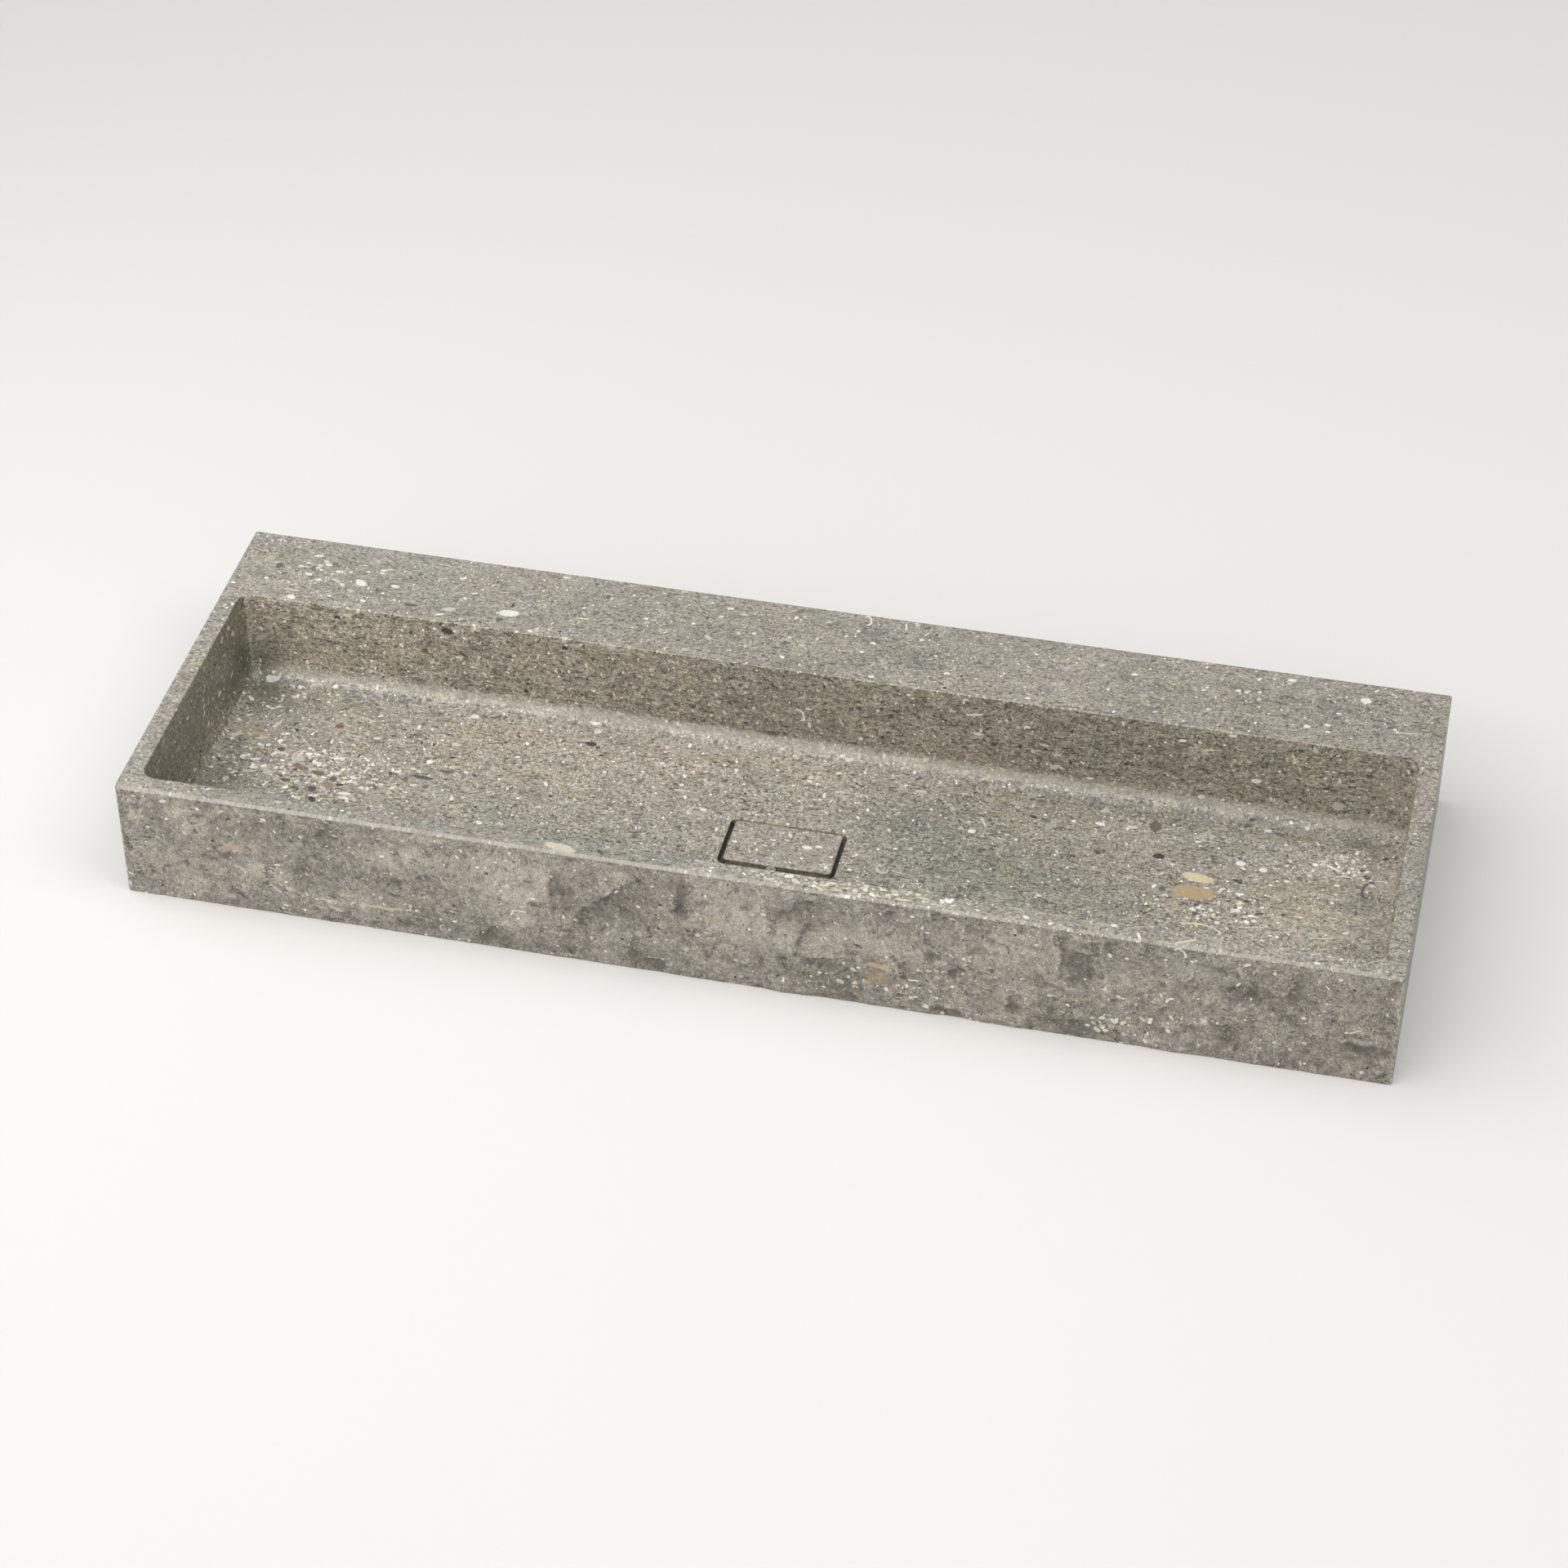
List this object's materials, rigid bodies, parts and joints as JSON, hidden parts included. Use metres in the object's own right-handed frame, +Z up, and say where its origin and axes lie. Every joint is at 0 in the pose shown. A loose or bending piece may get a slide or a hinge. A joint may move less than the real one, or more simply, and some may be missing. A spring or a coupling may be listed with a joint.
{
  "type": "trough sink",
  "caption": "Long rectangular trough sink carved from one shell-stone block, with a rear ledge, a split-rock front and a lift-out stone drain cover over a flush-grid waste.",
  "frame": {"origin": "middle of the underside, on the surface that the sink rests on", "axes": "+X to the right along the trough, +Y from the split front to the back ledge, +Z up"},
  "size_m": [1.2, 0.41, 0.129],
  "materials": {
    "stone": "honed, with a split front face",
    "cover_stone": "honed",
    "clear_silicone": "soft translucent",
    "waste_steel": "satin",
    "black_rubber": "matte",
    "strainer_steel": "brushed",
    "screw_steel": "satin",
    "washer_plastic": "matte",
    "nut_brass": "machined",
    "insert_brass": "machined"
  },
  "bodies": {
    "sink": {"basin_block": "stone", "waste_body": "waste_steel", "flange_seal": "black_rubber", "strainer_disc": "strainer_steel", "strainer_screw": "screw_steel", "lower_gasket": "black_rubber", "friction_washer": "washer_plastic", "lock_nut": "nut_brass", "bracket_inserts": "insert_brass"},
    "cover": {"drain_cover": "cover_stone", "cover_bumpers": "clear_silicone"}
  },
  "joints": [
    {"name": "cover_lift", "type": "slide", "parent": "sink", "child": "cover", "axis": [0, 0, 1], "range_m": [0, 0.12]}
  ]
}
